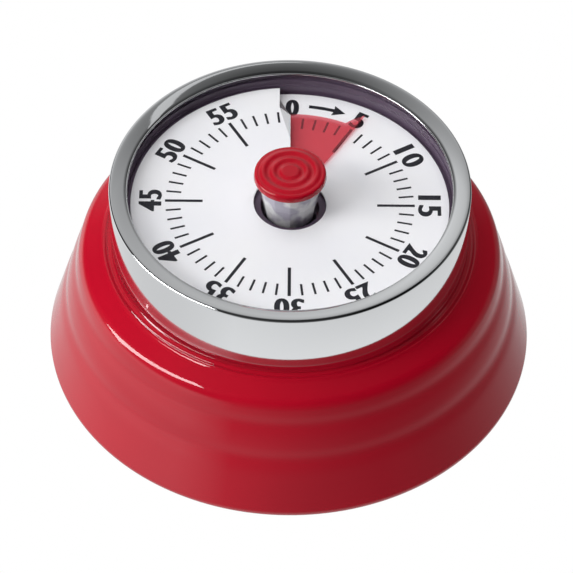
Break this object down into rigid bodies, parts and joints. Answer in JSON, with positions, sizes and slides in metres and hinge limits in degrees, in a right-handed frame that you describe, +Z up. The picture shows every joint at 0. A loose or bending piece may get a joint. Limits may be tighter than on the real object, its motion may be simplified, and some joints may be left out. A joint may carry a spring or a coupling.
{
  "type": "kitchen timer",
  "caption": "Mechanical kitchen timer with a bell shaped body, chromed bezel, white spiral dial, coloured time disc, clear knob stem and magnetic foot.",
  "frame": {"origin": "centre of the resting face, on the knob's axis", "axes": "+Z up along the knob's axis, +Y towards the zero of the dial, +X to the right of a reader"},
  "size_m": [0.0696, 0.0696, 0.0354],
  "materials": {
    "body_red": "deep glossy lacquer",
    "chrome": "bright mirror chrome",
    "plum": "satin",
    "dial_white": "satin, printed in black",
    "clear": "clear polished",
    "cap_red": "glossy",
    "film_red": "translucent film",
    "steel": "turned",
    "brass": "satin",
    "spring_steel": "blued",
    "plate_steel": "zinc plated",
    "bell_steel": "nickel plated",
    "black_plastic": "fine matte",
    "ferrite": "matte",
    "foot_rubber": "matte"
  },
  "bodies": {
    "case": {"body_shell": "body_red", "chrome_bezel": "chrome", "dial_housing": "plum", "dial_seat": "plum", "dial_disc": "dial_white", "mainspring": "spring_steel", "spring_post": "steel", "hairspring": "spring_steel", "hairspring_stud": "brass", "lower_plate": "plate_steel", "upper_plate": "plate_steel", "pillars": "brass", "pillar_nuts": "steel", "housing_screws": "steel", "bell": "bell_steel", "bell_post": "brass", "bell_screw": "steel", "base_plate": "black_plastic", "magnet_ring": "ferrite", "magnet_backing": "plate_steel", "backing_screws": "steel", "base_screws": "steel", "foot_ring": "foot_rubber"},
    "knob": {"window_knob": "clear", "knob_cap": "cap_red", "main_arbor": "steel", "zero_cam": "steel", "ratchet_wheel": "steel"},
    "time_film": {"time_disc": "film_red"},
    "main_wheel_set": {"main_wheel": "brass", "click": "steel", "click_spring": "spring_steel", "click_rivet": "steel"},
    "second_wheel_set": {"second_wheel": "brass"},
    "third_wheel_set": {"third_wheel": "brass"},
    "escape_wheel_set": {"escape_wheel": "brass"},
    "pallets": {"pallet_lever": "steel"},
    "balance": {"balance_wheel": "brass"},
    "striker": {"hammer": "steel"}
  },
  "joints": [
    {"name": "knob_turn", "type": "hinge", "parent": "case", "child": "knob", "pos_m": [0, 0, 0.03], "axis": [0, 0, 1], "range_deg": [-328, 31.4]},
    {"name": "time_disc_lift", "type": "slide", "parent": "knob", "child": "time_film", "axis": [0, 0, 1], "range_m": [-0.00012, 0.0012]},
    {"name": "main_wheel_turn", "type": "hinge", "parent": "case", "child": "main_wheel_set", "pos_m": [0, 0, 0.013], "axis": [0, 0, 1], "range_deg": [-329, 32.4]},
    {"name": "second_wheel_turn", "type": "hinge", "parent": "case", "child": "second_wheel_set", "pos_m": [0.016, 0, 0.014], "axis": [0, 0, 1], "range_deg": [-287.6, 2957]},
    {"name": "third_wheel_turn", "type": "hinge", "parent": "case", "child": "third_wheel_set", "pos_m": [0.01261, 0.01141, 0.014], "axis": [0, 0, 1], "range_deg": [-22145, 2124.5]},
    {"name": "escape_wheel_turn", "type": "hinge", "parent": "case", "child": "escape_wheel_set", "pos_m": [0.00381, 0.01657, 0.014], "axis": [0, 0, 1], "range_deg": [-15901.25, 166055]},
    {"name": "pallet_rock", "type": "hinge", "parent": "case", "child": "pallets", "pos_m": [-0.00275, 0.01728, 0.014], "axis": [0, 0, 1], "range_deg": [-3, 3]},
    {"name": "balance_swing", "type": "hinge", "parent": "case", "child": "balance", "pos_m": [-0.01016, 0.01425, 0.014], "axis": [0, 0, 1], "range_deg": [-150, 150]},
    {"name": "hammer_swing", "type": "hinge", "parent": "case", "child": "striker", "pos_m": [-0.01442, -0.01009, 0.014], "axis": [0, 0, 1], "range_deg": [-2, 7]}
  ],
  "couplings": [
    {"joint": "time_disc_lift", "follows": "knob_turn", "m_per_rad": -0.0002069},
    {"joint": "main_wheel_turn", "follows": "knob_turn", "ratio": 1},
    {"joint": "second_wheel_turn", "follows": "knob_turn", "ratio": -9},
    {"joint": "third_wheel_turn", "follows": "knob_turn", "ratio": 67.5},
    {"joint": "escape_wheel_turn", "follows": "knob_turn", "ratio": -506.25}
  ]
}
